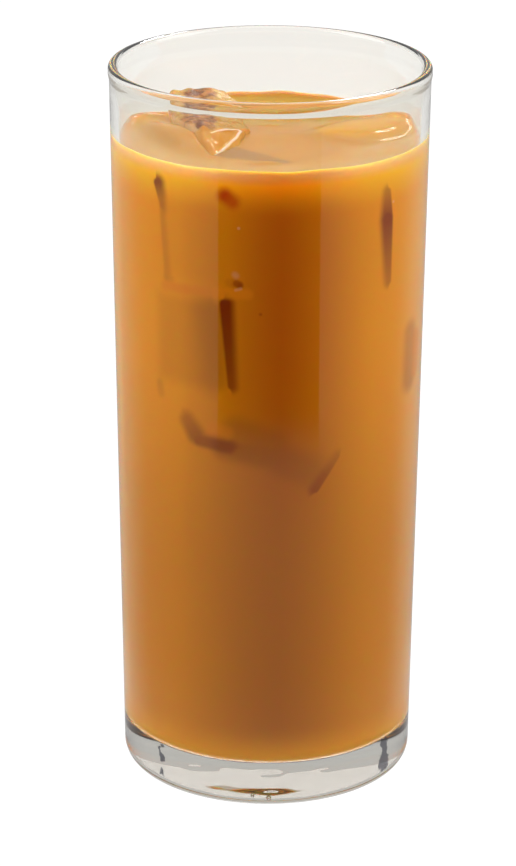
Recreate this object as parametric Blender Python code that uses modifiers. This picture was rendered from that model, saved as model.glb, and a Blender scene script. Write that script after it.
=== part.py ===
"""Iced coffee in a tall straight glass: the glass, the drink up to its level and the two ice cubes that reach it.

Metres, +Z up. The origin is the middle of the glass's foot, on the surface that it stands on.
"""
import math

import bmesh
import bpy
from mathutils import Euler, Vector

# Driving sizes of the glass
GLASS_HEIGHT = 0.1665
RIM_RADIUS = 0.0360
WALL_TOP_RADIUS = 0.0358
WALL_FOOT_RADIUS = 0.0332
WALL = 0.0019
RIM_BEAD_RADIUS = 0.0011
RIM_BEAD_DROP = 0.0032
HEEL_RADIUS = 0.0045
FLOOR_HEIGHT = 0.0104
FLOOR_CORNER_RADIUS = 0.0040
PUNT_RADIUS = 0.0235
PUNT_DEPTH = 0.0014

# Driving sizes of the drink
DRINK_LEVEL = 0.1494
MENISCUS_RISE = 0.0018
MENISCUS_REACH = 0.0016
GAP = 0.0003

# How finely round shapes are turned: facets round the axis, and steps along each corner of an outline
TURNS = 72
CORNER_STEPS = 6
RIM_STEPS = 10
PUNT_STEPS = 3

# Where the bead's round outline ends, in degrees under its middle, on both sides of the wall
BEAD_WRAP = 10

# Distances from the glass at which the raised edge of the drink is drawn, in units of its reach
MENISCUS_STEPS = (5.0, 3.0, 2.0, 1.4, 0.9, 0.5, 0.2)

# The left cube's corners in plan: those of its foot, and those of its top with their heights above the drink
LEFT_CUBE_FOOT = [
    (-0.0215, 0.0180),
    (-0.0130, 0.0205),
    (-0.0050, 0.0120),
    (-0.0060, 0.0000),
    (-0.0110, -0.0120),
    (-0.0175, -0.0020),
]
LEFT_CUBE_TOP = [
    (-0.0232, 0.0188, 0.0062),
    (-0.0118, 0.0205, 0.0065),
    (-0.0062, 0.0140, 0.0040),
    (-0.0045, 0.0060, 0.0018),
    (-0.0145, -0.0045, 0.0052),
    (-0.0220, 0.0060, 0.0040),
    (-0.0070, -0.0080, 0.0002),
    (-0.0125, -0.0195, -0.0005),
    (-0.0168, -0.0080, 0.0005),
]
LEFT_CUBE_DEPTH = 0.0200
RIGHT_CUBE_SIZE = (0.0160, 0.0160, 0.0210)
RIGHT_CUBE_CENTRE = (0.0214, 0.0070)
RIGHT_CUBE_RISE = 0.0013
RIGHT_CUBE_TURN = (math.radians(4), math.radians(-3), math.radians(38))
MELTED_EDGE = 0.0022
MELTED_EDGE_STEPS = 3
MELTED_EDGE_ANGLE = math.radians(20)

WALL_SLOPE = (WALL_TOP_RADIUS - WALL_FOOT_RADIUS) / GLASS_HEIGHT


def wall_radius(height):
    """Radius of the wall's outer face at a height."""
    return WALL_FOOT_RADIUS + WALL_SLOPE * height


def arc(centre_radius, centre_height, radius, start, end, steps):
    """Points on a round corner, from one angle to another in degrees, counted from straight outwards."""
    points = []
    for step in range(steps + 1):
        angle = math.radians(start + (end - start) * step / steps)
        points.append((centre_radius + radius * math.cos(angle), centre_height + radius * math.sin(angle)))
    return points


def hollow_outline(clearance, top):
    """The inside of the glass below a height, from the wall down to the axis, moved inwards by a clearance."""
    corner = FLOOR_CORNER_RADIUS - clearance
    corner_height = FLOOR_HEIGHT + FLOOR_CORNER_RADIUS
    corner_radius = wall_radius(corner_height) - WALL - FLOOR_CORNER_RADIUS
    side = [(wall_radius(top) - WALL - clearance, top)]
    bend = arc(corner_radius, corner_height, corner, 0, -90, CORNER_STEPS)
    return side + bend + [(0.0, FLOOR_HEIGHT + clearance)]


def glass_outline():
    """From the middle of the inner floor up the inside, over the rim, down the outside and in under the foot."""
    bead_height = GLASS_HEIGHT - RIM_BEAD_RADIUS
    bead_radius = RIM_RADIUS - RIM_BEAD_RADIUS
    under_bead = GLASS_HEIGHT - RIM_BEAD_DROP
    heel_radius = wall_radius(HEEL_RADIUS) - HEEL_RADIUS
    inside = hollow_outline(0.0, under_bead)[::-1]
    rim = arc(bead_radius, bead_height, RIM_BEAD_RADIUS, 180 + BEAD_WRAP, -BEAD_WRAP, RIM_STEPS)
    outside = [(wall_radius(under_bead), under_bead)]
    heel = arc(heel_radius, HEEL_RADIUS, HEEL_RADIUS, 0, -90, CORNER_STEPS)
    punt = []
    for step in range(PUNT_STEPS + 1):
        part = 1 - step / PUNT_STEPS
        punt.append((PUNT_RADIUS * part, PUNT_DEPTH * (1 - part ** 2)))
    return inside + rim + outside + heel + punt


def drink_outline():
    """From the middle of the surface out to the raised edge at the glass, down the side and in to the axis."""
    edge_height = DRINK_LEVEL + MENISCUS_RISE
    edge_radius = wall_radius(edge_height) - WALL - GAP
    surface = [(0.0, DRINK_LEVEL)]
    for from_glass in MENISCUS_STEPS:
        rise = MENISCUS_RISE * math.exp(-from_glass)
        surface.append((edge_radius - from_glass * MENISCUS_REACH, DRINK_LEVEL + rise))
    return surface + hollow_outline(GAP, edge_height)


def material(name, colour, roughness, see_through=0.0):
    """A Principled material in the photographed colour."""
    made = bpy.data.materials.new(name)
    made.use_nodes = True
    shader = made.node_tree.nodes["Principled BSDF"]
    shader.inputs["Base Color"].default_value = (*colour, 1.0)
    shader.inputs["Roughness"].default_value = roughness
    shader.inputs["Metallic"].default_value = 0.0
    shader.inputs["Transmission Weight"].default_value = see_through
    return made


def add_object(name, mesh, collection):
    made = bpy.data.objects.new(name, mesh)
    collection.objects.link(made)
    return made


def turned(name, outline, collection):
    """A solid turned about the Z axis from an outline that starts and ends on it."""
    mesh = bpy.data.meshes.new(name)
    points = [(radius, 0.0, height) for radius, height in outline]
    mesh.from_pydata(points, [(i, i + 1) for i in range(len(points) - 1)], [])
    made = add_object(name, mesh, collection)
    screw = made.modifiers.new("turn", "SCREW")
    screw.axis = "Z"
    screw.steps = TURNS
    screw.render_steps = TURNS
    screw.use_merge_vertices = True
    screw.merge_threshold = 0.00005
    screw.use_smooth_shade = True
    return made


def melt_edges(made):
    """Rounds a cube's edges as melting does."""
    bevel = made.modifiers.new("melted edges", "BEVEL")
    bevel.width = MELTED_EDGE
    bevel.segments = MELTED_EDGE_STEPS
    bevel.limit_method = "ANGLE"
    bevel.angle_limit = MELTED_EDGE_ANGLE
    made.data.shade_smooth()


def irregular_cube(name, collection):
    """The left cube: an uneven block whose top corners stand at their own heights above the drink."""
    shape = bmesh.new()
    for x, y in LEFT_CUBE_FOOT:
        shape.verts.new((x, y, DRINK_LEVEL - LEFT_CUBE_DEPTH))
    for x, y, rise in LEFT_CUBE_TOP:
        shape.verts.new((x, y, DRINK_LEVEL + rise))
    bmesh.ops.convex_hull(shape, input=shape.verts[:])
    bmesh.ops.recalc_face_normals(shape, faces=shape.faces[:])
    mesh = bpy.data.meshes.new(name)
    shape.to_mesh(mesh)
    shape.free()
    made = add_object(name, mesh, collection)
    melt_edges(made)
    return made


def tilted_cube(name, collection):
    """The right cube: a regular block, turned and slightly tilted, with its top just through the surface."""
    shape = bmesh.new()
    bmesh.ops.create_cube(shape, size=1.0)
    bmesh.ops.scale(shape, vec=Vector(RIGHT_CUBE_SIZE), verts=shape.verts[:])
    mesh = bpy.data.meshes.new(name)
    shape.to_mesh(mesh)
    shape.free()
    made = add_object(name, mesh, collection)
    top = DRINK_LEVEL + RIGHT_CUBE_RISE
    made.location = (*RIGHT_CUBE_CENTRE, top - RIGHT_CUBE_SIZE[2] / 2)
    made.rotation_euler = Euler(RIGHT_CUBE_TURN)
    melt_edges(made)
    return made


def cut_round(drink, cube, maker, collection):
    """Cuts the drink away round a cube, with the clearance that all touching pieces keep."""
    cutter = maker("cutter_" + cube.name, collection)
    grow = cutter.modifiers.new("clearance", "DISPLACE")
    grow.strength = GAP
    grow.mid_level = 0.0
    cutter.hide_render = True
    cutter.display_type = "WIRE"
    cut = drink.modifiers.new("cut round " + cube.name, "BOOLEAN")
    cut.operation = "DIFFERENCE"
    cut.solver = "EXACT"
    cut.object = cutter


def main():
    for old in list(bpy.data.objects):
        bpy.data.objects.remove(old, do_unlink=True)
    pieces = bpy.data.collections.new("iced_coffee")
    cutters = bpy.data.collections.new("cutters")
    bpy.context.scene.collection.children.link(pieces)
    bpy.context.scene.collection.children.link(cutters)

    glass = turned("glass", glass_outline(), pieces)
    glass.data.materials.append(material("clear_glass", (0.96, 0.97, 0.96), 0.02, 1.0))

    drink = turned("coffee", drink_outline(), pieces)
    drink.data.materials.append(material("milky_coffee", (0.60, 0.24, 0.04), 0.15))

    ice = material("melting_ice", (0.88, 0.72, 0.55), 0.08, 0.8)
    for name, maker in (("ice_left", irregular_cube), ("ice_right", tilted_cube)):
        cube = maker(name, pieces)
        cube.data.materials.append(ice)
        cut_round(drink, cube, maker, cutters)


main()
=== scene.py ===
# %% [markdown]
# Iced coffee in a tall glass
#
# The drink is a milky cold coffee with ice, in a straight clear glass with a thick foot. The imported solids
# give the places and sizes, and this file dresses them: a polished glass that bends light, a drink that
# light sinks into, and melting ice at its surface. Every new piece is a surface worked out with numpy, as
# whole arrays.

import math

import bpy
import numpy as np
from mathutils import Matrix, Vector


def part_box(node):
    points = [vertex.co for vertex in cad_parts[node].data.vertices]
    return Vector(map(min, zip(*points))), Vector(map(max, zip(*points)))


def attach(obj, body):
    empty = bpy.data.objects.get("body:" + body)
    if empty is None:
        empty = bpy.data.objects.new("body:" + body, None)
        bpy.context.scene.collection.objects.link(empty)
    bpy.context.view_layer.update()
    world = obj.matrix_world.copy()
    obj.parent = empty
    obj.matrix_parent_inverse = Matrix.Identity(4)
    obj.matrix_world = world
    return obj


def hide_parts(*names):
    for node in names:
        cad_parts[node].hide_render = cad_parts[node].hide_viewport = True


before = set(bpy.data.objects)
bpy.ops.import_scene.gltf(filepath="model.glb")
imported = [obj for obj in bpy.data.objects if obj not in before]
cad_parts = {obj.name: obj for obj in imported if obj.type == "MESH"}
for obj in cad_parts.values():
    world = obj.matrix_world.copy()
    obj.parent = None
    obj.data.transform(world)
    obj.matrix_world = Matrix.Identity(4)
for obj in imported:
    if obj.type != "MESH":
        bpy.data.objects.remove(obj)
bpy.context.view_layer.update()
glass_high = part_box("glass")[1]
print("glass:", round(glass_high.z * 1000, 1), "mm high,", round(glass_high.x * 2000, 1), "mm wide")

# %% [markdown]
# Sizes
#
# A few driving sizes repeat those of the solids, in metres, and the rest is worked out from them. MM keeps
# short lengths readable.

# %% Driving sizes
MM = 0.001
GLASS_HEIGHT = glass_high.z
RIM_RADIUS = 36.0 * MM
WALL_TOP_RADIUS = 35.8 * MM
WALL_FOOT_RADIUS = 33.2 * MM
WALL = 1.9 * MM
BEAD_RADIUS = 1.1 * MM
BEAD_DROP = 3.4 * MM
FLARE = 1.3 * MM
HEEL_RADIUS = 4.5 * MM
FLOOR_HEIGHT = 10.4 * MM
FLOOR_CORNER = 4.0 * MM
PUNT_RADIUS = 23.5 * MM
PUNT_DEPTH = 1.0 * MM
DRINK_LEVEL = 149.4 * MM
MENISCUS_RISE = 1.8 * MM
MENISCUS_REACH = 1.9 * MM
INTO_WALL = 0.1 * MM
FOOT_UNEVENNESS = 0.042 * MM
FOOT_LUMP = 7 * MM
TINY = 1e-10
TURNS = 320


def wall_radius(height):
    """Radius of the wall's outer face: a straight line from the foot's radius to the rim's."""
    return WALL_FOOT_RADIUS + (WALL_TOP_RADIUS - WALL_FOOT_RADIUS) * height / GLASS_HEIGHT


def inner_radius(height):
    """Radius of the wall's inner face: the outer one less the wall."""
    return wall_radius(height) - WALL


print("drink is", round(2000 * inner_radius(DRINK_LEVEL), 1), "mm across at its level")

# %% [markdown]
# The camera
#
# The photograph looks slightly down on the glass from under a metre away, through a long lens. The camera
# comes first, because everything after it is judged from there. Its place and turns are real lengths and
# angles.

# %% Camera
CAMERA_DISTANCE = 0.8236
CAMERA_HEIGHT = 0.3749
CAMERA_PITCH = math.radians(19.737)
CAMERA_YAW = math.radians(-0.162)
CAMERA_ROLL = math.radians(0.276)
CAMERA_LENS = 158.8


def camera_axes(pitch, yaw, roll):
    """Right, up and backward of a camera. Forward is (sin yaw cos pitch, cos yaw cos pitch, -sin pitch),
    and right and up are the level directions across it, turned about it by roll."""
    forward = Vector((math.sin(yaw) * math.cos(pitch), math.cos(yaw) * math.cos(pitch), -math.sin(pitch)))
    level = Vector((math.cos(yaw), -math.sin(yaw), 0.0))
    upright = level.cross(forward)
    right = math.cos(roll) * level + math.sin(roll) * upright
    up = math.cos(roll) * upright - math.sin(roll) * level
    return right, up, -forward


camera = bpy.data.objects.new("camera", bpy.data.cameras.new("camera"))
bpy.context.scene.collection.objects.link(camera)
right, up, back = camera_axes(CAMERA_PITCH, CAMERA_YAW, CAMERA_ROLL)
camera.matrix_world = Matrix.Translation((0, -CAMERA_DISTANCE, CAMERA_HEIGHT)) @ Matrix(
    (right, up, back)
).transposed().to_4x4()
camera.data.lens = CAMERA_LENS
camera.data.sensor_width = 36.0
camera.data.clip_start = 0.01
bpy.context.scene.camera = camera
print("camera looks down by", round(math.degrees(CAMERA_PITCH), 1), "degrees")

# %% [markdown]
# Making meshes from arrays
#
# Two helpers turn arrays into pieces. A turned piece is a profile carried round the axis. Its two ends lie
# on the axis, so each end is one point with a fan of triangles, and the piece is closed without a seam.


# %% Mesh helpers
def piece(name, points, faces):
    """An object at the origin whose mesh has these points and faces, shaded smooth."""
    mesh = bpy.data.meshes.new(name)
    mesh.from_pydata(points.tolist(), [], faces)
    mesh.shade_smooth()
    made = bpy.data.objects.new(name, mesh)
    bpy.context.scene.collection.objects.link(made)
    return made


def ring_faces(rings, turns):
    """Quads between rings of points in a row, then a fan from the first point and one to the last."""
    ring, turn = np.meshgrid(np.arange(rings - 1), np.arange(turns), indexing="ij")
    after = (turn + 1) % turns
    low = 1 + ring * turns
    high = low + turns
    quads = np.stack([low + turn, high + turn, high + after, low + after], axis=-1).reshape(-1, 4)
    step = np.arange(turns)
    last = 1 + rings * turns
    first_fan = np.stack([np.zeros(turns, int), 1 + step, 1 + (step + 1) % turns], axis=-1)
    base = 1 + (rings - 1) * turns
    last_fan = np.stack([np.full(turns, last), base + (step + 1) % turns, base + step], axis=-1)
    return first_fan.tolist() + quads.tolist() + last_fan.tolist()


def turned(name, profile, lift=None, turns=TURNS):
    """A profile of (radius, height) carried round the axis: x = r cos a, y = r sin a, z = height + lift."""
    profile = np.asarray(profile, float)
    angle = np.linspace(0, 2 * np.pi, turns, endpoint=False)
    inner = profile[1:-1]
    x = inner[:, :1] * np.cos(angle)
    y = inner[:, :1] * np.sin(angle)
    z = inner[:, 1:] + np.zeros_like(x)
    ends = np.array([[0, 0, profile[0, 1]], [0, 0, profile[-1, 1]]])
    grid = np.stack([x, y, z], axis=-1).reshape(-1, 3)
    points = np.vstack([ends[:1], grid, ends[1:]])
    if lift is not None:
        points[:, 2] += lift(points[:, 0], points[:, 1], points[:, 2])
    return piece(name, points, ring_faces(len(inner), turns))


def arc(centre_radius, centre_height, radius, start, end, steps):
    """Points of a round corner: centre + radius (cos t, sin t), with t from start to end degrees."""
    t = np.radians(np.linspace(start, end, steps + 1))
    return np.stack([centre_radius + radius * np.cos(t), centre_height + radius * np.sin(t)], axis=-1)


def waves(x, y, z, seed, scale, count=14):
    """Lumps: a sum of sine waves in random directions, about one wave in a scale, mostly from -1 to 1."""
    draw = np.random.default_rng(seed)
    direction = draw.normal(size=(count, 3))
    direction /= np.linalg.norm(direction, axis=1, keepdims=True)
    pace = 2 * np.pi / scale * draw.uniform(0.6, 1.6, count)
    phase = draw.uniform(0, 2 * np.pi, count)
    along = np.stack([x, y, z], axis=-1) @ direction.T
    return np.sin(along * pace + phase).sum(axis=-1) / math.sqrt(count)


# %% [markdown]
# The glass
#
# A pressed tumbler is one turned wall: a round bead at the rim with a short flare under it, a thin
# straight wall, a thick clear foot with a rounded heel, and a shallow hollow underneath. Light bends at
# each of its faces, so a faceted copy would show broken reflections. The same profile as the solid is
# therefore turned again, in many more steps. The hollow is a little shallower than the solid's and, as
# pressing leaves it, not quite even: what the foot shows of the drink above it depends on both.

# %% Glass piece


def hollow_profile(top, into=0.0):
    """Inside of the glass from the middle of its floor, round the floor's corner and up the wall to a
    height, or the same line moved a little way into the glass."""
    corner_height = FLOOR_HEIGHT + FLOOR_CORNER
    corner_radius = inner_radius(corner_height) - FLOOR_CORNER
    floor = np.stack([np.linspace(0, corner_radius, 40)[:-1], np.full(39, FLOOR_HEIGHT - into)], axis=-1)
    corner = arc(corner_radius, corner_height, FLOOR_CORNER + into, -90, 0, 14)
    height = np.linspace(corner_height, top, 40)[1:]
    wall = np.stack([inner_radius(height) + into, height], axis=-1)
    return np.vstack([floor, corner, wall])


def glass_profile():
    """Whole section of the glass: inside, bead, outside, heel and hollow foot, from axis to axis."""
    under_bead = GLASS_HEIGHT - BEAD_DROP
    bead = arc(RIM_RADIUS - BEAD_RADIUS, GLASS_HEIGHT - BEAD_RADIUS, BEAD_RADIUS, 190, 0, 24)
    part = np.linspace(1, 0, 9)[:-1]
    flare = np.stack([
        wall_radius(under_bead) + (RIM_RADIUS - wall_radius(under_bead)) * part, under_bead + FLARE * part,
    ], axis=-1)
    height = np.linspace(under_bead, HEEL_RADIUS, 40)[:-1]
    outside = np.stack([wall_radius(height), height], axis=-1)
    heel = arc(wall_radius(HEEL_RADIUS) - HEEL_RADIUS, HEEL_RADIUS, HEEL_RADIUS, 0, -90, 14)
    flat = np.linspace(wall_radius(HEEL_RADIUS) - HEEL_RADIUS, PUNT_RADIUS, 8)[1:-1]
    ring = np.stack([flat, np.zeros_like(flat)], axis=-1)
    part = np.linspace(1, 0, 50)
    punt = np.stack([PUNT_RADIUS * part, PUNT_DEPTH * (1 - part ** 2)], axis=-1)
    return np.vstack([hollow_profile(under_bead), bead, flare, outside, heel, ring, punt])


def foot_waves(x, y, z):
    """The mould's unevenness under the glass: part of the hollow's own height, times lumps."""
    under = np.clip(z / PUNT_DEPTH, 0, 1) * (z < PUNT_DEPTH + TINY) * (np.hypot(x, y) < PUNT_RADIUS)
    return under * FOOT_UNEVENNESS * waves(x, y, 0 * x, 31, FOOT_LUMP, 10)


glass = turned("clear_glass", glass_profile(), foot_waves)
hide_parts("glass")
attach(glass, "root")
print("glass has", len(glass.data.polygons), "faces")

# %% [markdown]
# Two small round bubbles are caught in the foot, low at the front. Each is a closed ball inside the glass,
# and its finish bends light the other way, from glass into air.

# %% Bubbles in the foot
BUBBLES = {"bubble_small": (-3.0, -30.0, 3.0, 0.42), "bubble_large": (0.6, -30.4, 2.6, 0.55)}
bubbles = []
for name, (x, y, z, radius) in BUBBLES.items():
    profile = arc(0, 0, radius * MM, 90, -90, 24)
    profile[[0, -1], 0] = 0
    ball = turned(name, profile, None, 32)
    ball.data.transform(Matrix.Translation(Vector((x, y, z)) * MM))
    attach(ball, "root")
    bubbles.append(ball)
print("bubbles:", len(bubbles))

# %% [markdown]
# The ice at the surface
#
# Two pieces of ice reach the surface. Melting has softened and pitted them, so each is made from its
# solid: how far the solid's faces are from a middle point is measured in every direction, lumps are added,
# and the whole is smoothed. The left one also has a thin ridge, where the coffee's film ends in a hook. The
# ridge is painted pale as a highlight. What lies on it is kept as a value at each point, which its finish
# reads.

# %% Ice: the melted surface
ICE_LEVELS = 220
ICE_TURNS = 320
RIDGE = np.array([
    [-12.8, -7.0], [-11.3, -5.0], [-9.4, -1.6], [-7.7, 0.8],
    [-6.9, -0.2], [-7.4, -4.2], [-9.3, -9.8], [-11.7, -15.6],
]) * MM
RIDGE_HEIGHT = 0.30 * MM
RIDGE_WIDTH = 0.34 * MM


def solid_corners(node):
    """The three corners of each face of a solid, as an array of faces, corners and x, y, z."""
    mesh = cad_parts[node].data
    place = np.empty(len(mesh.vertices) * 3)
    mesh.vertices.foreach_get("co", place)
    mesh.calc_loop_triangles()
    corner = np.empty(len(mesh.loop_triangles) * 3, np.int32)
    mesh.loop_triangles.foreach_get("vertices", corner)
    return place.reshape(-1, 3)[corner].reshape(-1, 3, 3)


def solid_reach(corners, middle, way):
    """How far a solid's faces are from its middle. A direction w passes through the face a, b, c where
    w.(a x b), w.(b x c) and w.(c x a) are all positive, and meets it at a.(b x c) over their sum."""
    reach = np.zeros(way.shape[:-1])
    for a, b, c in corners - middle:
        parts = [way @ np.cross(first, second) for first, second in ((a, b), (b, c), (c, a))]
        total = parts[0] + parts[1] + parts[2]
        inside = (np.minimum.reduce(parts) >= -TINY) & (total > TINY)
        reach = np.maximum(reach, np.where(inside, a @ np.cross(b, c) / np.where(inside, total, 1), 0))
    return reach


def ridge_distance(place):
    """Distance in plan from the bent line of the ridge."""
    nearest = np.full(place.shape[:-1], 1.0)
    for first, last in zip(RIDGE[:-1], RIDGE[1:]):
        along = last - first
        part = np.clip((place[..., :2] - first) @ along / (along @ along), 0, 1)
        away = np.linalg.norm(place[..., :2] - first - part[..., None] * along, axis=-1)
        nearest = np.minimum(nearest, away)
    return nearest


def melted(name, corners, lump, lump_scale, seed, smoothing, ridged=False):
    """In each direction w the surface lies at the solid's reach, plus lumps, fine pits and the ridge."""
    middle = (corners.min(axis=(0, 1)) + corners.max(axis=(0, 1))) / 2
    polar = np.linspace(0, np.pi, ICE_LEVELS)[:, None]
    turn = np.linspace(0, 2 * np.pi, ICE_TURNS, endpoint=False)[None, :]
    way = np.stack([
        np.sin(polar) * np.cos(turn), np.sin(polar) * np.sin(turn), np.cos(polar) + 0 * turn,
    ], axis=-1)
    reach = solid_reach(corners, middle, way)
    place = middle + way * reach[..., None]
    reach = reach + lump * waves(place[..., 0], place[..., 1], place[..., 2], seed, lump_scale)
    ridge = np.exp(-(ridge_distance(place) / RIDGE_WIDTH) ** 2) * (place[..., 2] > middle[2]) * ridged
    reach = reach + RIDGE_HEIGHT * ridge
    place = middle + way * reach[..., None]
    inner = place[1:-1].reshape(-1, 3)
    points = np.vstack([place[0].mean(axis=0), inner, place[-1].mean(axis=0)])
    made = piece(name, points, ring_faces(ICE_LEVELS - 2, ICE_TURNS))
    values = np.concatenate([[0], ridge[1:-1].ravel(), [0]]).astype(np.float32)
    made.data.attributes.new("ridge", "FLOAT", "POINT").data.foreach_set("value", values)
    smooth = made.modifiers.new("melted smooth", "SMOOTH")
    smooth.factor = 0.5
    smooth.iterations = smoothing
    return made


# %% Ice: both pieces
left_corners = solid_corners("ice_left")
right_corners = solid_corners("ice_right")
ice_left = melted("ice_left_melted", left_corners, 0.28 * MM, 4.2 * MM, 3, 6, True)
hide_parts("ice_left")
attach(ice_left, "root")
ice_right = melted("ice_right_melted", right_corners, 0.10 * MM, 7.0 * MM, 8, 14)
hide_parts("ice_right")
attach(ice_right, "root")

# %% [markdown]
# The drink
#
# The drink is one closed body that fills the glass and reaches a hair into the wall, so that no air shows
# between them. Its surface isn't flat: it climbs up the glass and the ice, a thin film of it lies over the
# right cube, which floats just under the surface, and along the side of the left block, and it has a few
# faint waves. All of that is a height added to the level, as a function of x and y. Inside the left block
# the surface sinks into a pit, so that the block hides it.

# %% Drink: the surface's height
# Each dome of film: its middle and its half widths in mm, its turn in degrees, its rise in mm, its softness
DOMES = {
    "over the right cube": (22.2, 9.0, 12.6, 10.6, 62, 1.9, 0.10),
    "foot of the right cube": (26.6, -9.4, 6.0, 4.4, 65, 0.55, 0.22),
    "swell at the left back": (-28.0, 15.6, 9.0, 4.6, 61, 0.8, 0.35),
    "along the left ice": (-20.6, -1.0, 12.0, 4.2, 118, 2.3, 0.22),
    "front wave": (-0.6, -20.2, 2.6, 1.3, 0, 0.30, 0.28),
    "back wave": (0.6, 27.6, 2.4, 1.4, 0, 0.34, 0.28),
    "middle wave": (-0.2, 18.6, 2.6, 1.2, 0, 0.24, 0.28),
}
ICE_CLIMB = 0.35 * MM
ICE_CLIMB_REACH = 0.9 * MM
PIT_DEPTH = 4.0 * MM
PIT_EDGE = 0.9 * MM
BACK_WAVINESS = 0.30 * MM


def top_height(corners, x, y):
    """Height of a solid's top over each place of the plan, and far below it beside the solid. Inside the
    face a, b, c the height is the mean of its corners' heights, each weighted by the area across from
    it."""
    height = np.full(np.shape(x), -1.0)
    for a, b, c in corners:
        area = (b[0] - a[0]) * (c[1] - a[1]) - (b[1] - a[1]) * (c[0] - a[0])
        if area > TINY:
            to_b = ((x - a[0]) * (c[1] - a[1]) - (y - a[1]) * (c[0] - a[0])) / area
            to_c = ((b[0] - a[0]) * (y - a[1]) - (b[1] - a[1]) * (x - a[0])) / area
            inside = (to_b >= 0) & (to_c >= 0) & (to_b + to_c <= 1)
            here = a[2] + to_b * (b[2] - a[2]) + to_c * (c[2] - a[2])
            height = np.where(inside, np.maximum(height, here), height)
    return height


def plan_distance(corners, x, y, height):
    """Distance outside a solid's outline at a height, below zero inside, from its steep faces and top."""
    middle = corners.mean(axis=(0, 1))
    nearest = np.full(np.shape(x), -1.0)
    for a, b, c in corners:
        normal = np.cross(b - a, c - a)
        flat = math.hypot(normal[0], normal[1])
        if flat > 3 * abs(normal[2]) and flat > TINY:
            beside = (x - a[0]) * normal[0] + (y - a[1]) * normal[1]
            outside = (beside + (height - a[2]) * normal[2]) / flat
            nearest = np.maximum(nearest, outside)
    top = top_height(corners, x, y)
    return np.where(top > -0.5, np.maximum(nearest, (height - top) / 0.4), np.maximum(nearest, 0.1 * MM))


def film_height(x, y):
    """Sum of the domes: rise x (1.3 - 0.3 d^2) inside and a soft step at d = 1, with d the distance in
    half widths."""
    height = 0 * x
    for middle_x, middle_y, half_long, half_wide, turn, rise, shoulder in DOMES.values():
        c, s = math.cos(math.radians(turn)), math.sin(math.radians(turn))
        u = (c * (x / MM - middle_x) + s * (y / MM - middle_y)) / half_long
        v = (c * (y / MM - middle_y) - s * (x / MM - middle_x)) / half_wide
        d = (np.abs(u) ** 2.4 + np.abs(v) ** 2.4) ** (1 / 2.4)
        crown = 1.3 - 0.3 * np.minimum(d, 1) ** 2
        height = height + rise * MM * crown / (1 + np.exp(np.clip((d - 1) / shoulder, -30, 30)))
    return height


def surface_height(x, y, z):
    """Height over the level: the climb at the glass, rise x exp(-distance / reach), plus the domes of
    film, plus the collar at the left ice, less the pit inside it, plus faint ripples."""
    top = np.clip((z - DRINK_LEVEL + 0.5 * MM) / (0.5 * MM), 0, 1)
    from_glass = inner_radius(DRINK_LEVEL) - np.hypot(x, y)
    uneven = 1 + 0.16 * waves(x, y, 0 * x, 5, 16 * MM, 6)
    at_back = np.clip(y / (20 * MM), 0, 1)
    rise = MENISCUS_RISE + BACK_WAVINESS * at_back * waves(x, 0 * x, 0 * x, 21, 13 * MM, 5)
    climb = rise * np.exp(-np.maximum(from_glass, 0) / (MENISCUS_REACH * uneven))
    left = plan_distance(left_corners, x, y, DRINK_LEVEL)
    collar = ICE_CLIMB * np.exp(-np.abs(left) / ICE_CLIMB_REACH)
    pit = PIT_DEPTH * np.clip((-left - PIT_EDGE) / (3 * MM), 0, 1) ** 1.5
    ripple = 0.08 * MM * waves(x, y, 0 * x, 11, 14 * MM, 8)
    return top * (climb + film_height(x, y) + collar - pit + ripple)


# %% Drink: the body
def drink_profile():
    """From the middle of the surface out to the glass, down the wall, round the corner and to the axis."""
    edge = inner_radius(DRINK_LEVEL + MENISCUS_RISE) + INTO_WALL
    part = np.concatenate([np.linspace(0, 0.86, 74)[:-1], 1 - 0.14 * np.linspace(1, 0, 26) ** 1.4])
    radius = part * edge
    surface = np.stack([radius, np.full_like(radius, DRINK_LEVEL)], axis=-1)
    return np.vstack([surface, hollow_profile(DRINK_LEVEL - 0.6 * MM, INTO_WALL)[::-1]])


coffee = turned("milky_coffee", drink_profile(), surface_height)
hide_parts("coffee")
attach(coffee, "root")
print("drink has", len(coffee.data.polygons), "faces")

# %% [markdown]
# Materials
#
# Helpers keep the node trees short. Every pattern reads Object coordinates, which are metres in the frame,
# because each piece sits at the origin.


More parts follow.
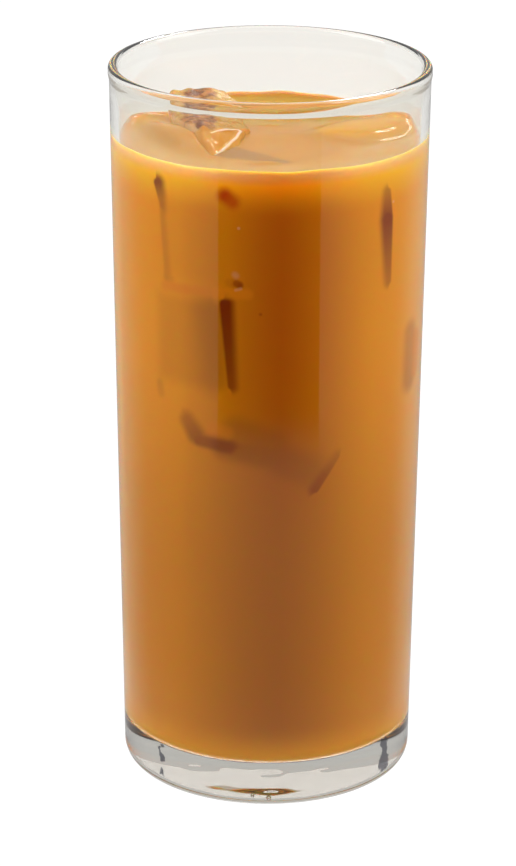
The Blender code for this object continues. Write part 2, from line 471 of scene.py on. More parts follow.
# %% Node helpers
class Tree:
    """A material's node tree, with short calls for the nodes that the finishes share."""

    def __init__(self, name):
        self.material = bpy.data.materials.new(name)
        self.material.use_nodes = True
        self.nodes = self.material.node_tree.nodes
        self.links = self.material.node_tree.links
        self.shader = self.nodes["Principled BSDF"]
        self.output = self.nodes["Material Output"]
        self.place = self.nodes.new("ShaderNodeTexCoord").outputs["Object"]

    def link(self, value, socket):
        """Joins an output to an input, or sets the input to a plain value."""
        if isinstance(value, bpy.types.NodeSocket):
            self.links.new(value, socket)
        else:
            socket.default_value = value

    def math(self, operation, *values, clamp=False):
        """The result of a math node whose inputs are these values or links."""
        node = self.nodes.new("ShaderNodeMath")
        node.operation = operation
        node.use_clamp = clamp
        for value, socket in zip(values, node.inputs):
            self.link(value, socket)
        return node.outputs[0]

    def vector(self, operation, *values):
        """The result of a vector node: a number for a length, a distance or a product, else a vector."""
        node = self.nodes.new("ShaderNodeVectorMath")
        node.operation = operation
        for value, socket in zip(values, node.inputs):
            self.link(value, socket)
        return node.outputs["Value" if operation in ("LENGTH", "DOT_PRODUCT", "DISTANCE") else "Vector"]

    def split(self, vector):
        """The x, y and z of a vector."""
        node = self.nodes.new("ShaderNodeSeparateXYZ")
        self.link(vector, node.inputs[0])
        return node.outputs

    def join(self, x, y):
        """The vector (x, y, 0)."""
        node = self.nodes.new("ShaderNodeCombineXYZ")
        self.link(x, node.inputs[0])
        self.link(y, node.inputs[1])
        return node.outputs[0]

    def noise(self, scale, detail):
        """Soft random lumps from 0 to 1, about scale of them to a metre."""
        node = self.nodes.new("ShaderNodeTexNoise")
        self.link(self.place, node.inputs["Vector"])
        node.inputs["Scale"].default_value = scale
        node.inputs["Detail"].default_value = detail
        return node.outputs["Fac"]

    def step(self, value, start, end, low=0.0, high=1.0):
        """A soft step: low before start, high after end."""
        node = self.nodes.new("ShaderNodeMapRange")
        node.interpolation_type = "SMOOTHSTEP"
        names = ("Value", "From Min", "From Max", "To Min", "To Max")
        for given, name in zip((value, start, end, low, high), names):
            self.link(given, node.inputs[name])
        return node.outputs["Result"]

    def mix(self, share, first, second):
        """The first colour where the share is 0, the second where it is 1, and a blend between."""
        node = self.nodes.new("ShaderNodeMix")
        node.data_type = "RGBA"
        self.link(share, node.inputs["Factor"])
        for value, socket in ((first, node.inputs["A"]), (second, node.inputs["B"])):
            self.link(value if isinstance(value, bpy.types.NodeSocket) else (*value, 1.0), socket)
        return node.outputs["Result"]

    def bump(self, height, strength, distance):
        """Tilts the shading as if the surface were raised by height x strength x distance."""
        node = self.nodes.new("ShaderNodeBump")
        self.link(strength, node.inputs["Strength"])
        node.inputs["Distance"].default_value = distance
        self.link(height, node.inputs["Height"])
        self.links.new(node.outputs[0], self.shader.inputs["Normal"])

    def let_lamps_through(self):
        """Shadow rays pass the piece, so lamps light what is behind it. Other rays meet it as it is."""
        path = self.nodes.new("ShaderNodeLightPath")
        clear = self.nodes.new("ShaderNodeBsdfTransparent")
        both = self.nodes.new("ShaderNodeMixShader")
        self.links.new(path.outputs["Is Shadow Ray"], both.inputs[0])
        self.links.new(self.shader.outputs[0], both.inputs[1])
        self.links.new(clear.outputs[0], both.inputs[2])
        self.links.new(both.outputs[0], self.output.inputs["Surface"])


# %% [markdown]
# Clear glass
#
# Soda glass bends light by 1.5. Its colour is a faint warm grey, painted shade for the darker room behind
# it.
# It also greys what is seen through it with depth, which shows in the thick foot. Handling leaves it not
# quite even: faint wiping marks change its polish, and pressing leaves a hardly visible waviness. A few
# small dark marks in the foot are painted reflections of dark things that the foot mirrors. Each is a short
# stroke on the wall, unrolled to a flat sheet.


# %% Glass finish
GLASS_INDEX = 1.5
# Painted shade: the glass's two tints are a warm grey that stands for the darker room seen through it
SHADED_GLASS_TINTS = (0.895, 0.883, 0.842), (0.88, 0.868, 0.827)
REFLECTED_DARK = (0.045, 0.045, 0.06)
GREYING = 10.0
GREYING_COLOUR = (0.50, 0.49, 0.44, 1.0)
SHEET_RADIUS = 33.0
# Each painted reflection: its start and its end (degrees round the glass, height mm, half width mm)
PAINTED_REFLECTIONS = {
    "left top": ((-45.2, 11.8, 0.25), (-48.0, 10.6, 0.20)),
    "left middle": ((-48.0, 10.6, 0.20), (-46.0, 9.2, 0.20)),
    "left low": ((-46.0, 9.0, 0.40), (-45.4, 8.3, 0.80)),
    "left dot": ((-46.6, 4.9, 0.50), (-46.5, 4.5, 0.50)),
    "right": ((54.5, 10.6, 1.50), (55.0, 8.6, 0.60)),
    "right low": ((54.4, 7.8, 1.10), (54.6, 6.0, 2.10)),
}


def unrolled(tree):
    """The place on the wall as a flat sheet in mm: x is the way round from the front, y is the height."""
    x, y, z = tree.split(tree.place)
    round_way = tree.math("ARCTAN2", x, tree.math("MULTIPLY", y, -1.0))
    return tree.join(tree.math("MULTIPLY", round_way, SHEET_RADIUS), tree.math("DIVIDE", z, MM))


def sheet_point(degrees, height):
    """A place on the sheet from its degrees round the glass and its height: (radius x angle, height)."""
    return Vector((math.radians(degrees) * SHEET_RADIUS, height, 0.0))


def line_distance(tree, place, first, last):
    """How far along a line a place lies (0 to 1), its distance from it, and its signed distance across."""
    along = last - first
    across = Vector((-along.y, along.x, 0)).normalized()
    from_first = tree.vector("SUBTRACT", place, first)
    reached = tree.vector("DOT_PRODUCT", from_first, along)
    part = tree.math("DIVIDE", reached, along.length_squared, clamp=True)
    scaled = tree.nodes.new("ShaderNodeVectorMath")
    scaled.operation = "SCALE"
    scaled.inputs[0].default_value = along
    tree.link(part, scaled.inputs["Scale"])
    away = tree.vector("DISTANCE", from_first, scaled.outputs[0])
    return part, away, tree.vector("DOT_PRODUCT", from_first, across)


def glass_finish():
    """Clear, with a faint warm grey of painted shade, painted dark reflections in the foot, wiping marks and
    waviness, and greying with depth.
    """
    tree = Tree("clear_glass_polished")
    shader = tree.shader.inputs
    shader["IOR"].default_value = GLASS_INDEX
    shader["Transmission Weight"].default_value = 1.0
    tint = tree.mix(tree.noise(14.0, 2.0), *SHADED_GLASS_TINTS)
    ragged = tree.math("MULTIPLY", tree.math("SUBTRACT", tree.noise(900.0, 3.0), 0.5), 3.0)
    sheet = unrolled(tree)
    # Each painted reflection is a dark stroke mixed into the glass's colour
    for start, end in PAINTED_REFLECTIONS.values():
        part, away = line_distance(tree, sheet, sheet_point(*start[:2]), sheet_point(*end[:2]))[:2]
        half = tree.math("MULTIPLY_ADD", part, end[2] - start[2], start[2])
        outside = tree.math("ADD", tree.math("SUBTRACT", away, half), ragged)
        tint = tree.mix(tree.step(outside, 0.0, 0.25, 1.0, 0.0), tint, REFLECTED_DARK)
    tree.link(tint, shader["Base Color"])
    tree.link(tree.step(tree.noise(60.0, 4.0), 0.62, 0.8, 0.0, 0.03), shader["Roughness"])
    tree.bump(tree.noise(38.0, 1.0), 0.02, 0.4 * MM)
    tree.let_lamps_through()
    depth = tree.nodes.new("ShaderNodeVolumeAbsorption")
    depth.inputs["Color"].default_value = GREYING_COLOUR
    depth.inputs["Density"].default_value = GREYING
    tree.links.new(depth.outputs[0], tree.output.inputs["Volume"])
    return tree.material


def bubble_finish():
    """Air inside glass, which bends light by one over the glass's index."""
    tree = Tree("air_in_glass")
    tint = tree.mix(tree.noise(400.0, 2.0), (1.0, 0.99, 0.96), (0.97, 0.95, 0.90))
    tree.link(tint, tree.shader.inputs["Base Color"])
    tree.shader.inputs["IOR"].default_value = 1 / GLASS_INDEX
    tree.shader.inputs["Roughness"].default_value = 0.0
    tree.shader.inputs["Transmission Weight"].default_value = 1.0
    tree.let_lamps_through()
    return tree.material


glass.data.materials.append(glass_finish())
air = bubble_finish()
for ball in bubbles:
    ball.data.materials.append(air)
print("painted_reflections in the foot:", len(PAINTED_REFLECTIONS))

# %% [markdown]
# The drink's body
#
# Milk makes the coffee cloudy, so light sinks in and comes out a few millimetres away, most of it red. Much
# of the light and shade on it is painted into its colour. These painted tones are: a yellow then orange glow
# in a band under the surface, as if lit from above; a darker lane down the front; lighter sides where the
# side lamps fall, darker low down, with a pale band toward each side; an orange glow toward the foot; and
# near black painted shade on its underside. Light that reaches the drink has come through glass, so its
# index is given against glass. Then the drink's underside mirrors the thick foot, as it does on the table,
# and the foot looks clear.
#
# Ice cubes hang wholly under the surface. They show only where they come close to the wall: little drink
# is left in front of them, and the clear ice behind it sends no light back, so the place is a dark reddish
# brown, and dull further behind the wall. The marks are painted into the drink's colour, because cubes
# inside an opaque body would not show. Each mark is a tapered stroke on the wall, unrolled to a flat sheet,
# between two places given by their degrees round the glass from the front and their height.

# %% Drink finish: body
COFFEE_INDEX = 1.34
AGAINST_GLASS = COFFEE_INDEX / GLASS_INDEX
# Painted light and shade: FRONT tones are the shaded lane down the front, SIDE tones the sides lit by the
# side lamps. LOW tones are painted darker low down, and the ORANGE and GLOW tones are a painted glow under
# the surface
FRONT_AMBER = (0.57, 0.143, 0.0005)
SIDE_AMBER = (0.90, 0.395, 0.003)
FRONT_LOW = (0.56, 0.190, 0.001)
SIDE_LOW = (0.73, 0.300, 0.002)
FRONT_ORANGE = (0.88, 0.345, 0.0002)
SIDE_ORANGE = (0.97, 0.590, 0.010)
FRONT_GLOW = (0.42, 0.275, 0.075)
SIDE_GLOW = (0.76, 0.51, 0.220)
DARK = (0.22, 0.014, 0.0005)
RUSSET = (0.50, 0.015, 0.0005)
DULL = (0.36, 0.112, 0.002)
WARM = (0.84, 0.30, 0.006)
PALE = (0.90, 0.62, 0.350)
SHADED_UNDERSIDE = (0.07, 0.022, 0.001)
LIT_EDGE = (0.96, 0.72, 0.36)
FOOT_GLOW = (0.84, 0.38, 0.008)
COFFEE_SPREAD = (1.0, 0.36, 0.10)
# Where each tone gives way to the next: by depth for the painted glow, by height, then by the way round on
# the sheet from the shaded lane to the lit sides
GLOW_DEPTHS = 0.5 * MM, 3.8 * MM
ORANGE_DEPTHS = 2.6 * MM, 10.6 * MM
LOW_TO_HIGH = 55.0 * MM, 115.0 * MM
SHADED_UNDERSIDE_HEIGHTS = FLOOR_HEIGHT + 0.1 * MM, FLOOR_HEIGHT + 1.2 * MM
FOOT_GLOW_HEIGHTS = 12.0 * MM, 20.5 * MM
SHADED_LANE_MIDDLE = 2.6
SHADED_LANE_TO_LIT_SIDE = -2.0, 24.0
FRONT_TO_LIT_EDGE = 30.0, 46.0
LIT_EDGE_STRENGTH = 0.35
BODY_SPREAD = 8.0 * MM

# Each stroke: its colour, its start and its end (degrees, height mm, half width mm, strength), and how soft
# it is in mm on its left or lower side, then on its right or upper side
STROKES = {
    "first cube, left corner": (DARK, (-44.9, 145.8, 0.70, 0.85), (-42.8, 140.8, 0.15, 0.25), 0.7, 2.4),
    "first cube, left edge": (DULL, (-43.2, 141.0, 0.15, 0.30), (-40.9, 125.2, 0.3, 0.26), 0.7, 1.8),
    "first cube, foot corner": (DULL, (-40.6, 124.9, 0.5, 0.30), (-39.2, 124.7, 0.3, 0.20), 1.2, 1.2),
    "first cube, right corner": (RUSSET, (-16.2, 145.4, 0.4, 0.85), (-13.6, 144.2, 0.4, 0.65), 2.4, 2.4),
    "under the first cube": (WARM, (-42.0, 122.8, 0.4, 0.70), (-8.0, 123.4, 0.5, 0.60), 1.4, 1.4),
    "second cube, face by the edge": (DULL, (-20.8, 118.5, 1.2, 0.36), (-19.4, 103.5, 1.0, 0.28), 6.0, 3.0),
    "second cube, right edge": (DARK, (-16.4, 120.8, 0.80, 0.92), (-14.2, 101.9, 0.25, 0.70), 0.8, 2.4),
    "second cube, foot corner": (DULL, (-45.2, 99.6, 0.4, 0.24), (-44.6, 97.4, 0.4, 0.20), 1.2, 1.2),
    "third cube, left side": (DARK, (-32.4, 92.6, 0.5, 0.42), (-28.6, 89.4, 0.8, 0.56), 2.4, 3.0),
    "third cube, low edge": (DARK, (-27.6, 88.4, 0.6, 0.60), (-15.0, 87.6, 0.6, 0.52), 1.6, 2.4),
    "third cube, low edge on": (DULL, (-17.0, 87.4, 0.8, 0.62), (3.0, 85.6, 1.2, 0.46), 3.4, 4.0),
    "third cube, inside": (WARM, (-21.6, 91.6, 0.7, 0.55), (-16.0, 91.0, 0.6, 0.45), 2.0, 2.0),
    "third cube, right side": (DULL, (-11.5, 91.4, 1.4, 0.42), (2.0, 88.6, 1.2, 0.36), 4.0, 4.0),
    "third cube, shadow": (DULL, (3.0, 85.4, 1.2, 0.42), (15.0, 82.2, 1.6, 0.40), 4.0, 5.0),
    "third cube, right edge": (DARK, (27.6, 84.7, 0.15, 0.28), (18.6, 77.4, 0.4, 0.52), 2.4, 0.5),
    "fourth cube, edge": (DARK, (48.4, 143.6, 0.5, 0.45), (48.8, 137.5, 1.15, 0.85), 2.2, 0.7),
    "fourth cube, edge low": (DARK, (48.8, 137.5, 1.15, 0.85), (50.2, 123.0, 0.35, 0.45), 2.2, 0.8),
    "fifth cube, side": (DARK, (67.0, 108.4, 1.0, 0.30), (67.0, 97.6, 1.2, 0.34), 3.6, 3.6),
    "fifth cube, inside": (WARM, (73.0, 106.0, 1.2, 0.55), (73.0, 98.6, 1.0, 0.50), 2.2, 2.2),
    # Painted highlight and shade: the pale strokes above and below a bubble at the wall are painted
    # highlights, and the dark ones beside it are painted shade
    "bubble, above": (PALE, (-12.5, 127.7, 0.2, 0.22), (-12.2, 127.5, 0.2, 0.22), 1.0, 1.0),
    "bubble, left": (DARK, (-14.6, 125.8, 0.3, 0.16), (-12.6, 125.6, 0.5, 0.30), 1.2, 1.2),
    "bubble, right": (DARK, (-12.0, 125.7, 0.4, 0.60), (-11.0, 125.4, 0.4, 0.70), 0.9, 0.9),
    "bubble, below": (PALE, (-12.3, 124.2, 0.05, 0.24), (-10.4, 124.6, 0.08, 0.28), 0.5, 0.5),
    "speck": (DARK, (-3.1, 118.9, 0.1, 0.45), (-3.0, 118.9, 0.1, 0.45), 0.4, 0.4),
    "pale speck": (PALE, (-11.2, 138.3, 0.1, 0.45), (-11.1, 138.3, 0.1, 0.45), 0.4, 0.4),
    "pale speck, right": (PALE, (51.5, 141.0, 0.1, 0.40), (51.6, 141.0, 0.1, 0.40), 0.4, 0.4),
}
# Each face: left, right (degrees), foot, top (mm), softness in mm, strength
FACES = {
    "first cube": (-43.0, -16.5, 125.4, 144.0, 4.0, 0.08),
    "second cube": (-45.5, -16.5, 101.0, 120.9, 4.0, 0.22),
}


def stroke(tree, sheet, start, end, soft_before, soft_after):
    """Strength within the half width of the line from start to end, and 0 beyond that side's softness."""
    part, away, across = line_distance(tree, sheet, sheet_point(*start[:2]), sheet_point(*end[:2]))
    half = tree.math("MULTIPLY_ADD", part, end[2] - start[2], start[2])
    strength = tree.math("MULTIPLY_ADD", part, end[3] - start[3], start[3])
    soft = tree.step(across, -0.3, 0.3, soft_before, soft_after)
    inside = tree.step(tree.math("SUBTRACT", away, half), 0.0, soft, 1.0, 0.0)
    return tree.math("MULTIPLY", inside, strength)


def face(tree, sheet, left, right, foot, top, soft):
    """1 inside the rectangle on the sheet, falling to 0 across its soft border."""
    low, high = sheet_point(left, foot), sheet_point(right, top)
    size, middle = (high - low) / 2, (low + high) / 2
    outside = tree.vector("SUBTRACT", tree.vector("ABSOLUTE", tree.vector("SUBTRACT", sheet, middle)), size)
    x, y = tree.split(outside)[:2]
    return tree.step(tree.math("SMOOTH_MAX", x, y, 1.0), -soft / 2, soft / 2, 1.0, 0.0)


def body_finish():
    """Painted light and shade by depth, height and distance from the shaded lane in front, then the marks of
    the hidden cubes.
    """
    tree = Tree("milky_coffee_body")
    shader = tree.shader.inputs
    height = tree.split(tree.place)[2]
    wobble = tree.math("MULTIPLY", tree.math("SUBTRACT", tree.noise(45.0, 2.0), 0.5), 1.2 * MM)
    depth = tree.math("ADD", tree.math("SUBTRACT", DRINK_LEVEL + MENISCUS_RISE, height), wobble)
    sheet = unrolled(tree)
    # Painted shade in a lane down the front of the drink, painted light toward the lit sides
    from_shaded_lane = tree.math("ABSOLUTE", tree.math("SUBTRACT", tree.split(sheet)[0], SHADED_LANE_MIDDLE))
    aside = tree.step(from_shaded_lane, *SHADED_LANE_TO_LIT_SIDE)
    low_tone = tree.mix(aside, FRONT_LOW, SIDE_LOW)
    high_tone = tree.mix(aside, FRONT_AMBER, SIDE_AMBER)
    colour = tree.mix(tree.step(height, *LOW_TO_HIGH), low_tone, high_tone)
    # Painted glow: an orange then a yellow band under the surface, as if lit from above
    colour = tree.mix(tree.step(depth, *ORANGE_DEPTHS), tree.mix(aside, FRONT_ORANGE, SIDE_ORANGE), colour)
    colour = tree.mix(tree.step(depth, *GLOW_DEPTHS), tree.mix(aside, FRONT_GLOW, SIDE_GLOW), colour)
    # Painted light from the side lamps: a pale band toward each side of the drink
    edge = tree.step(tree.math("ABSOLUTE", tree.split(sheet)[0]), *FRONT_TO_LIT_EDGE, 0.0, LIT_EDGE_STRENGTH)
    colour = tree.mix(edge, colour, LIT_EDGE)
    for left, right, foot, top, soft, strength in FACES.values():
        share = tree.math("MULTIPLY", face(tree, sheet, left, right, foot, top, soft), strength)
        colour = tree.mix(share, colour, DULL)
    for shared_tone in (DULL, RUSSET, DARK, WARM, PALE):
        share = 0.0
        for tone, start, end, *softness in STROKES.values():
            if tone == shared_tone:
                share = tree.math("MAXIMUM", share, stroke(tree, sheet, start, end, *softness))
        colour = tree.mix(share, colour, shared_tone)
    # Painted light: an orange glow toward the foot, as if lit from below through the glass
    colour = tree.mix(tree.step(height, *FOOT_GLOW_HEIGHTS), FOOT_GLOW, colour)
    # Painted shade: the drink's underside, on the glass's floor, is near black
    colour = tree.mix(tree.step(height, *SHADED_UNDERSIDE_HEIGHTS), SHADED_UNDERSIDE, colour)
    tree.link(colour, shader["Base Color"])
    shader["IOR"].default_value = AGAINST_GLASS
    shader["Roughness"].default_value = 0.02
    shader["Subsurface Weight"].default_value = 1.0
    shader["Subsurface Radius"].default_value = COFFEE_SPREAD
    shader["Subsurface Scale"].default_value = BODY_SPREAD
    return tree.material


# %% [markdown]
# The drink's surface
#
# From above, the drink is the same cloudy coffee, but wet: it mirrors the pale room at a low angle, which
# greys its colour. It is paler toward the glass and a darker gold at the back. Over the right cube, and at
# the back, the film is thin and lets light in, so it turns a clear amber. In front it stays milky, and the
# left block casts a soft shadow there. All of it is painted by place, which keeps the drink one body.


# %% Drink finish: surface
MILKY_TONES = (0.64, 0.295, 0.036), (0.58, 0.255, 0.028)
NEAR_GLASS = (0.66, 0.35, 0.075)
SHADED = (0.40, 0.19, 0.040)
CLEAR_AMBER = (0.70, 0.335, 0.010)
BACK_GOLD = (0.46, 0.255, 0.016)
CLIMB_PALE = (0.52, 0.37, 0.20)
LIT_PIT_COLOUR = (0.72, 0.36, 0.10)
# The shadow's start and end on the surface, its half width there and how much narrower its end is, in mm
SHADOW = Vector((-9.0, -12.5, 0)), Vector((3.5, -19.5, 0))
SHADOW_HALF = 4.6
SHADOW_TAPER = 3.6
SURFACE_SPREAD = 3.0 * MM


def surface_finish():
    """Tones by distance from the axis, by place from front to back and by height, then the shadow."""
    tree = Tree("milky_coffee_surface")
    shader = tree.shader.inputs
    x, y, z = tree.split(tree.place)
    film = tree.step(z, DRINK_LEVEL + 0.45 * MM, DRINK_LEVEL + 1.5 * MM)
    in_front = tree.step(y, 11.0 * MM, 4.0 * MM)
    milky = tree.math("MULTIPLY", in_front, tree.step(x, 9.0 * MM, 4.0 * MM, 0.0, 0.9))
    film = tree.math("MULTIPLY", film, tree.math("SUBTRACT", 1.0, milky))
    to_axis = tree.vector("LENGTH", tree.join(x, y))
    colour = tree.mix(tree.noise(60.0, 3.0), *MILKY_TONES)
    colour = tree.mix(tree.step(to_axis, 17.0 * MM, 27.0 * MM), colour, NEAR_GLASS)
    flat_place = tree.join(tree.math("DIVIDE", x, MM), tree.math("DIVIDE", y, MM))
    part, away = line_distance(tree, flat_place, *SHADOW)[:2]
    wedge = tree.math("SUBTRACT", away, tree.math("MULTIPLY_ADD", part, -SHADOW_TAPER, SHADOW_HALF))
    colour = tree.mix(tree.step(wedge, -1.0, 1.4, 0.8, 0.0), colour, SHADED)
    colour = tree.mix(film, colour, CLEAR_AMBER)
    colour = tree.mix(tree.step(y, 10.0 * MM, 28.0 * MM, 0.0, 0.9), colour, BACK_GOLD)
    wall_face = inner_radius(DRINK_LEVEL)
    at_glass = tree.step(to_axis, wall_face - 0.9 * MM, wall_face - 0.1 * MM)
    high = tree.step(z, DRINK_LEVEL + 0.9 * MM, DRINK_LEVEL + 1.8 * MM)
    colour = tree.mix(tree.math("MULTIPLY", at_glass, high), colour, CLIMB_PALE)
    # Painted light: the pit inside the left block is a paler orange than the drink, as if lit, so the ice
    # over it looks golden
    colour = tree.mix(tree.step(z, DRINK_LEVEL - 1.0 * MM, DRINK_LEVEL - 0.2 * MM), LIT_PIT_COLOUR, colour)
    tree.link(colour, shader["Base Color"])
    shader["Roughness"].default_value = 0.04
    shader["IOR"].default_value = COFFEE_INDEX
    shader["Subsurface Weight"].default_value = 1.0
    shader["Subsurface Radius"].default_value = COFFEE_SPREAD
    shader["Subsurface Scale"].default_value = SURFACE_SPREAD
    return tree.material


# %% Drink: which faces wear which finish
coffee.data.materials.append(body_finish())
coffee.data.materials.append(surface_finish())
face_middle = np.empty(len(coffee.data.polygons) * 3)
coffee.data.polygons.foreach_get("center", face_middle)
face_normal = np.empty(len(coffee.data.polygons) * 3)
coffee.data.polygons.foreach_get("normal", face_normal)
on_top = (face_middle[2::3] > DRINK_LEVEL - PIT_DEPTH - MM) & (face_normal[2::3] > 0.02)
coffee.data.polygons.foreach_set("material_index", on_top.astype(np.int32))
print("surface faces:", int(on_top.sum()))

# %% [markdown]
# Melting ice
#
# Ice bends light less than glass and is tinted by the coffee that runs off it. The corner in front still
# carries a film of coffee, a soft amber skin with painted shading, paler tan to the left and a deeper amber
# to the right. The top behind it is bare and wet, with a murky brown patch. The ridge is painted pale as a
# highlight. The right cube is wholly under the film.


# %% Ice finish
ICE_INDEX = 1.31
CLEAR_TONES = (0.80, 0.50, 0.10), (0.66, 0.36, 0.06)
MURKY_TONES = (0.60, 0.27, 0.050), (0.22, 0.075, 0.010)
SKIN_TONES = (0.68, 0.32, 0.032), (0.68, 0.29, 0.004)
WASHED = (0.72, 0.42, 0.17)
RIDGE_HIGHLIGHT = (0.95, 0.72, 0.46)
ICE_SPREAD = 1.0 * MM


def ice_finish(name, film_front, film_level):
    """Bare ice with a murky patch, under a skin of coffee in front of film_front and below film_level, with
    painted shading on the skin and a painted highlight along the ridge.
    """
    tree = Tree(name)
    shader = tree.shader.inputs
    x, y, z = tree.split(tree.place)
    ragged = tree.math("MULTIPLY", tree.math("SUBTRACT", tree.noise(300.0, 2.0), 0.5), 1.6 * MM)
    rough_x = tree.math("MULTIPLY_ADD", ragged, 4.0, x)
    edge = tree.math("MULTIPLY", tree.math("MAXIMUM", tree.math("ADD", x, 12.5 * MM), 0.0), -1.4)
    bent_y = tree.math("ADD", tree.math("ADD", y, edge), ragged)
    front = tree.step(bent_y, film_front + MM, film_front - 0.4 * MM)
    washed = tree.step(x, -12.8 * MM, -17.0 * MM, 0.0, 3.5 * MM)
    height = tree.math("SUBTRACT", tree.math("ADD", z, ragged), washed)
    low = tree.step(height, film_level + 1.2 * MM, film_level)
    from_left = tree.step(rough_x, -20.2 * MM, -18.6 * MM)
    from_right = tree.step(rough_x, -11.4 * MM, -13.0 * MM)
    from_below = tree.step(z, film_level + 1.6 * MM, film_level + 3.8 * MM)
    brown = tree.math("MULTIPLY", tree.math("MULTIPLY", from_left, from_right), from_below)
    clear = tree.mix(tree.noise(160.0, 2.0), *CLEAR_TONES)
    murky = tree.mix(tree.step(tree.noise(420.0, 3.0), 0.40, 0.62), *MURKY_TONES)
    clear = tree.mix(brown, clear, murky)
    # Painted shading: the skin is paler tan to the left and a deeper amber to the right
    skin_shading = tree.step(tree.math("ADD", x, tree.math("MULTIPLY", y, -0.35)), -13.5 * MM, -7.5 * MM)
    film = tree.mix(skin_shading, *SKIN_TONES)
    colour = tree.mix(low, clear, WASHED)
    colour = tree.mix(front, colour, film)
    coated = tree.math("MAXIMUM", front, low)
    ridge = tree.nodes.new("ShaderNodeAttribute")
    ridge.attribute_name = "ridge"
    # Painted highlight: the ridge is painted pale, as where the film's edge catches the light
    ridge_highlight = tree.step(ridge.outputs["Fac"], 0.25, 0.85)
    colour = tree.mix(ridge_highlight, colour, RIDGE_HIGHLIGHT)
    tree.link(colour, shader["Base Color"])
    shader["Roughness"].default_value = 0.03
    shader["IOR"].default_value = ICE_INDEX
    solid = tree.math("MAXIMUM", coated, ridge_highlight)
    tree.link(tree.step(solid, 0.0, 1.0, 0.35, 0.03), shader["Transmission Weight"])
    shader["Subsurface Weight"].default_value = 1.0
    shader["Subsurface Radius"].default_value = COFFEE_SPREAD
    shader["Subsurface Scale"].default_value = ICE_SPREAD
    tree.bump(tree.noise(480.0, 3.0), tree.step(solid, 0.0, 1.0, 1.0, 0.05), 1.4 * MM)
    tree.let_lamps_through()
    return tree.material


ice_left.data.materials.append(ice_finish("wet_ice", -5.5 * MM, DRINK_LEVEL + 0.3 * MM))
ice_right.data.materials.append(ice_finish("coated_ice", 1.0, DRINK_LEVEL + 20 * MM))
print("finishes so far:", len(bpy.data.materials))

# %% [markdown]
# The studio
#
# The glass stands on a plain white floor in a pale room that is brighter behind the glass than in front of
# it. The darker front gives the drink its depth. The floor is plain white to the camera and through the
# glass only, so that it doesn't grey the drink with its own reflection: what the wall mirrors is a plane
# of its own, further down.

# %% The floor


def stage_plane(name, corners, finish, rays):
    """A flat piece of the studio, which isn't part of the object, seen only by the named kinds of ray."""
    mesh = bpy.data.meshes.new(name)
    mesh.from_pydata(corners, [], [tuple(range(len(corners)))])
    mesh.materials.append(finish)
    made = bpy.data.objects.new(name, mesh)
    bpy.context.scene.collection.objects.link(made)
    for ray in ("camera", "diffuse", "glossy", "transmission", "shadow", "volume_scatter"):
        setattr(made, "visible_" + ray, ray in rays)
    return made


def floor_finish(name, colour):
    """A white floor that glows evenly, so that it stays plain white right up to the glass."""
    tree = Tree(name)
    tree.shader.inputs["Base Color"].default_value = (*colour, 1.0)
    tree.shader.inputs["Roughness"].default_value = 0.9
    tree.shader.inputs["Emission Color"].default_value = (1, 1, 1, 1)
    tree.shader.inputs["Emission Strength"].default_value = 1.0
    return tree.material


FLOOR_SIDE = 4.0
SQUARE = (-1, -1), (1, -1), (1, 1), (-1, 1)
floor_corners = [(x * FLOOR_SIDE, y * FLOOR_SIDE, -0.2 * MM) for x, y in SQUARE]
white = floor_finish("white_floor", (0.02, 0.02, 0.02))
stage_plane("floor", floor_corners, white, ("camera", "transmission"))
print("floor:", 2 * FLOOR_SIDE, "m across")

# %% [markdown]
# A dark card on the table in front of the glass is mirrored in its wall, as a darker upright strip. A real
# card would also shade the drink and be seen in front of it, so a second plane, seen only in reflections,
# stands for the table and its card.

# %% The mirrored table
MIRRORED = 0.42
UNDER_GLASS = 0.56
CARD_NEAR = 0.235
CARD_FULL = 0.285
CARD_HALF_ANGLE = 36.0


def mirrored_finish():
    """The table as the wall mirrors it: pale, and dark in the card's angle beyond its soft near edge."""
    tree = Tree("mirrored_table")
    x, y = tree.split(tree.place)[:2]
    away = tree.vector("LENGTH", tree.place)
    round_way = tree.math("ABSOLUTE", tree.math("ARCTAN2", x, tree.math("MULTIPLY", y, -1.0)))
    aside = tree.step(tree.math("DEGREES", round_way), CARD_HALF_ANGLE - 0.6, CARD_HALF_ANGLE + 0.6)
    pale = tree.math("MAXIMUM", aside, tree.step(away, CARD_NEAR, CARD_FULL, 1.0, 0.0))
    close = tree.step(away, 0.06, 0.11, UNDER_GLASS - MIRRORED, 0.0)
    tree.shader.inputs["Base Color"].default_value = (0, 0, 0, 1)
    tree.shader.inputs["Specular IOR Level"].default_value = 0.0
    tree.shader.inputs["Emission Color"].default_value = (1, 1, 1, 1)
    tree.link(tree.math("MULTIPLY_ADD", pale, MIRRORED, close), tree.shader.inputs["Emission Strength"])
    return tree.material


mirrored_corners = [(x, y, -0.1 * MM) for x, y, z in floor_corners]
stage_plane("mirrored_table", mirrored_corners, mirrored_finish(), ("glossy",))
print("card mirrored within", CARD_HALF_ANGLE, "degrees of the front")

# %% [markdown]
# A soft lamp at each side rounds the drink, a large one lies above, and a small bright window high behind
# the glass puts the white dashes on the wet surfaces. The side lamps aren't seen through the glass, where
# they would wash out its wall.

# %% Lamps
MIDDLE = (0, 0, GLASS_HEIGHT / 2)
# Each lamp: its width and height in metres, its place and its radiance
LAMPS = {
    "left_softbox": (0.5, 0.7, (-0.60, -0.10, 0.50), 3.0),
    "right_softbox": (0.5, 0.7, (0.60, -0.10, 0.50), 3.0),
    "top_softbox": (0.9, 0.9, (0.0, 0.25, 1.0), 1.0),
    "window": (0.14, 0.10, (0.155, 0.60, 0.65), 60.0),
}
BESIDE = ("left_softbox", "right_softbox")


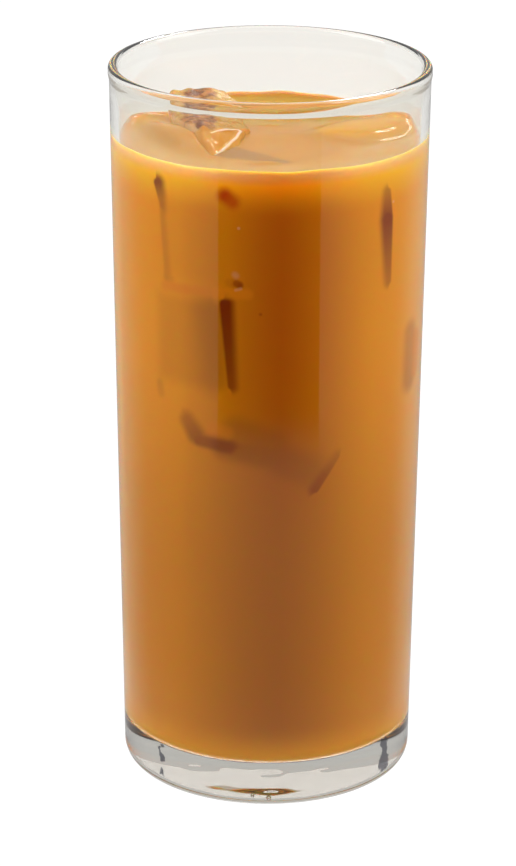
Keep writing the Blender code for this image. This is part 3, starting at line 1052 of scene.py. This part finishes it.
def softbox(name, width, height, place, target, radiance):
    """A rectangular lamp that faces a target. Its power is radiance x area x pi."""
    lamp = bpy.data.lights.new(name, "AREA")
    lamp.shape = "RECTANGLE"
    lamp.size = width
    lamp.size_y = height
    lamp.energy = radiance * width * height * math.pi
    made = bpy.data.objects.new(name, lamp)
    made.location = place
    made.rotation_euler = (Vector(target) - Vector(place)).to_track_quat("-Z", "Y").to_euler()
    bpy.context.scene.collection.objects.link(made)
    made.visible_camera = False
    return made


for name, (width, height, place, radiance) in LAMPS.items():
    lamp = softbox(name, width, height, place, MIDDLE, radiance)
    lamp.visible_transmission = name not in BESIDE
print("lamps:", len(LAMPS))

# %% [markdown]
# The walls of the room only show as soft light in the glass and the drink. A picture of a studio could
# light them too, but it would bring in forms of its own, so the room is a plain change of brightness from
# front to back, warmer near the table's height.

# %% The room
ROOM_FRONT = 0.22
ROOM_BEHIND = 0.76
ROOM_TURN = 0.7
ROOM_LOW_TONE = (0.78, 0.71, 0.63)
ROOM_LOW = 0.04
ROOM_HIGH = 0.24


def room_light(front, behind, low_tone):
    """A plain room whose radiance goes softly from one value in front of the glass to another behind it,
    and whose walls are darker and warmer near the table's height."""
    world = bpy.data.worlds.new("room")
    world.use_nodes = True
    nodes, links = world.node_tree.nodes, world.node_tree.links
    direction = nodes.new("ShaderNodeTexCoord").outputs["Generated"]
    split = nodes.new("ShaderNodeSeparateXYZ")
    links.new(direction, split.inputs[0])
    step = nodes.new("ShaderNodeMapRange")
    step.interpolation_type = "SMOOTHSTEP"
    step.inputs["From Min"].default_value = -ROOM_TURN
    step.inputs["From Max"].default_value = ROOM_TURN
    step.inputs["To Min"].default_value = front
    step.inputs["To Max"].default_value = behind
    links.new(split.outputs["Y"], step.inputs["Value"])
    links.new(step.outputs["Result"], nodes["Background"].inputs["Strength"])
    level = nodes.new("ShaderNodeMapRange")
    level.interpolation_type = "SMOOTHSTEP"
    level.inputs["From Min"].default_value = ROOM_LOW
    level.inputs["From Max"].default_value = ROOM_HIGH
    links.new(split.outputs["Z"], level.inputs["Value"])
    tone = nodes.new("ShaderNodeMix")
    tone.data_type = "RGBA"
    tone.inputs["A"].default_value = (*low_tone, 1)
    tone.inputs["B"].default_value = (1, 1, 1, 1)
    links.new(level.outputs["Result"], tone.inputs["Factor"])
    links.new(tone.outputs["Result"], nodes["Background"].inputs["Color"])
    bpy.context.scene.world = world


room_light(ROOM_FRONT, ROOM_BEHIND, ROOM_LOW_TONE)
bpy.context.scene.view_settings.view_transform = "Standard"
print("room is", round(ROOM_BEHIND / ROOM_FRONT, 1), "times brighter behind the glass than in front")
